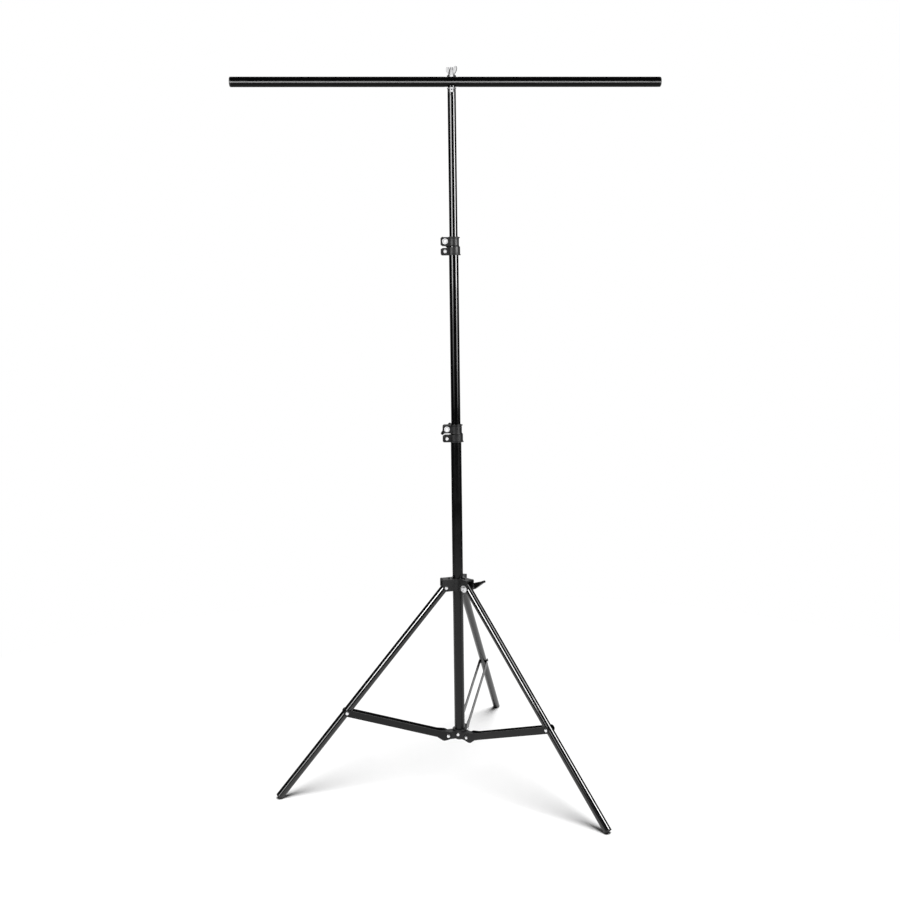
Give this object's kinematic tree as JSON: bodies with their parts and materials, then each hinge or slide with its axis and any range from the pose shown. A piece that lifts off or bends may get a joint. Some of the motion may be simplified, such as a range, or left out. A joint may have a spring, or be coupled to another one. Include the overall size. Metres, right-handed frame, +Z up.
{
  "type": "background support stand",
  "caption": "T-shaped backdrop stand: telescopic mast on a folding tripod base, with a round horizontal crossbar held by a wing nut.",
  "frame": {"origin": "on the floor, under the mast's axis", "axes": "+Z up along the mast, +X along the crossbar, +Y to the back; one leg points back"},
  "size_m": [0.9714, 0.7628, 1.6706],
  "materials": {
    "black_tube": "gloss",
    "black_bar": "satin",
    "casting": "textured",
    "knob_plastic": "satin",
    "black_plastic": "semi-gloss",
    "foot_rubber": "matte",
    "chrome": "polished"
  },
  "bodies": {
    "base": {"base_tube": "black_tube", "base_end_plug": "black_plastic", "lower_hub": "casting", "hub_pivot_rivets": "chrome", "hub_fixing_rivets": "chrome", "lower_clamp_collar": "casting", "lower_clamp_bolt": "chrome", "lower_clamp_screw": "chrome", "lower_clamp_nut": "chrome"},
    "lower_clamp_sleeve": {"lower_clamp_liner": "black_plastic"},
    "middle_section": {"middle_tube": "black_tube", "middle_tube_bush": "black_plastic", "upper_clamp_collar": "casting", "upper_clamp_bolt": "chrome", "upper_clamp_screw": "chrome", "upper_clamp_nut": "chrome"},
    "upper_clamp_sleeve": {"upper_clamp_liner": "black_plastic"},
    "top_section": {"top_tube": "black_tube", "top_tube_bush": "black_plastic", "spigot": "chrome", "spigot_rivet": "black_bar", "spigot_set_screw": "black_bar", "spigot_stud": "chrome"},
    "crossbar": {"crossbar_tube": "black_tube", "crossbar_cap_left": "black_plastic", "crossbar_cap_right": "black_plastic", "bar_saddle": "black_plastic", "bar_washer": "chrome"},
    "wing_nut": {"wing_nut": "chrome"},
    "lower_knob": {"lower_clamp_knob": "knob_plastic", "lower_clamp_knob_insert": "chrome"},
    "upper_knob": {"upper_clamp_knob": "knob_plastic", "upper_clamp_knob_insert": "chrome"},
    "crown": {"crown_casting": "casting", "crown_liner": "black_plastic", "crown_pivot_rivets": "chrome", "crown_lock_bolt": "chrome"},
    "crown_lever": {"crown_lever": "knob_plastic", "crown_lever_insert": "chrome"},
    "leg_back": {"leg_back_tube": "black_tube", "leg_back_top_plug": "black_plastic", "leg_back_foot": "foot_rubber"},
    "strut_back": {"strut_back_bars": "black_bar", "strut_back_leg_rivets": "chrome"},
    "leg_left": {"leg_left_tube": "black_tube", "leg_left_top_plug": "black_plastic", "leg_left_foot": "foot_rubber"},
    "strut_left": {"strut_left_bars": "black_bar", "strut_left_leg_rivets": "chrome"},
    "leg_right": {"leg_right_tube": "black_tube", "leg_right_top_plug": "black_plastic", "leg_right_foot": "foot_rubber"},
    "strut_right": {"strut_right_bars": "black_bar", "strut_right_leg_rivets": "chrome"}
  },
  "joints": [
    {"name": "middle_section_turn", "type": "hinge", "parent": "base", "child": "lower_clamp_sleeve", "pos_m": [0, 0, 0.85], "axis": [0, 0, 1], "continuous": true},
    {"name": "middle_section_slide", "type": "slide", "parent": "lower_clamp_sleeve", "child": "middle_section", "axis": [0, 0, 1], "range_m": [-0.385, 0.145]},
    {"name": "top_section_turn", "type": "hinge", "parent": "middle_section", "child": "upper_clamp_sleeve", "pos_m": [0, 0, 1.28], "axis": [0, 0, 1], "continuous": true},
    {"name": "top_section_slide", "type": "slide", "parent": "upper_clamp_sleeve", "child": "top_section", "axis": [0, 0, 1], "range_m": [-0.305, 0.2]},
    {"name": "crossbar_turn", "type": "hinge", "parent": "top_section", "child": "crossbar", "pos_m": [0, 0, 1.6371], "axis": [0, 0, 1], "continuous": true},
    {"name": "wing_nut_turn", "type": "hinge", "parent": "top_section", "child": "wing_nut", "pos_m": [0, 0, 1.655], "axis": [0, 0, 1], "continuous": true},
    {"name": "lower_knob_turn", "type": "hinge", "parent": "base", "child": "lower_knob", "pos_m": [-0.01969, 0.02139, 0.8523], "axis": [0.068, 0.9977, 0], "continuous": true},
    {"name": "upper_knob_turn", "type": "hinge", "parent": "middle_section", "child": "upper_knob", "pos_m": [-0.01819, 0.02129, 1.2843], "axis": [0.068, 0.9977, 0], "continuous": true},
    {"name": "crown_slide", "type": "slide", "parent": "base", "child": "crown", "axis": [0, 0, 1], "range_m": [0, 0.26639]},
    {"name": "crown_lever_turn", "type": "hinge", "parent": "crown", "child": "crown_lever", "pos_m": [0.02152, -0.02368, 0.4734], "axis": [0.74, 0.6726, 0], "range_deg": [-60, 90]},
    {"name": "leg_back_fold", "type": "hinge", "parent": "crown", "child": "leg_back", "pos_m": [0.00975, 0.03048, 0.4734], "axis": [-0.9525, 0.3045, 0], "range_deg": [0, 41.14]},
    {"name": "strut_back_fold", "type": "hinge", "parent": "base", "child": "strut_back", "pos_m": [0.00975, 0.03048, 0.1039], "axis": [-0.9525, 0.3045, 0], "range_deg": [-70.47, 0]},
    {"name": "leg_left_fold", "type": "hinge", "parent": "crown", "child": "leg_left", "pos_m": [-0.03127, -0.0068, 0.4734], "axis": [0.2125, -0.9772, 0], "range_deg": [0, 41.14]},
    {"name": "strut_left_fold", "type": "hinge", "parent": "base", "child": "strut_left", "pos_m": [-0.03127, -0.0068, 0.1039], "axis": [0.2125, -0.9772, 0], "range_deg": [-70.47, 0]},
    {"name": "leg_right_fold", "type": "hinge", "parent": "crown", "child": "leg_right", "pos_m": [0.02152, -0.02368, 0.4734], "axis": [0.74, 0.6726, 0], "range_deg": [0, 41.14]},
    {"name": "strut_right_fold", "type": "hinge", "parent": "base", "child": "strut_right", "pos_m": [0.02152, -0.02368, 0.1039], "axis": [0.74, 0.6726, 0], "range_deg": [-70.47, 0]}
  ],
  "couplings": [
    {"joint": "leg_back_fold", "follows": "crown_slide", "rad_per_m": 2.6948},
    {"joint": "strut_back_fold", "follows": "crown_slide", "rad_per_m": -4.6165},
    {"joint": "leg_left_fold", "follows": "crown_slide", "rad_per_m": 2.6948},
    {"joint": "strut_left_fold", "follows": "crown_slide", "rad_per_m": -4.6165},
    {"joint": "leg_right_fold", "follows": "crown_slide", "rad_per_m": 2.6948},
    {"joint": "strut_right_fold", "follows": "crown_slide", "rad_per_m": -4.6165}
  ]
}
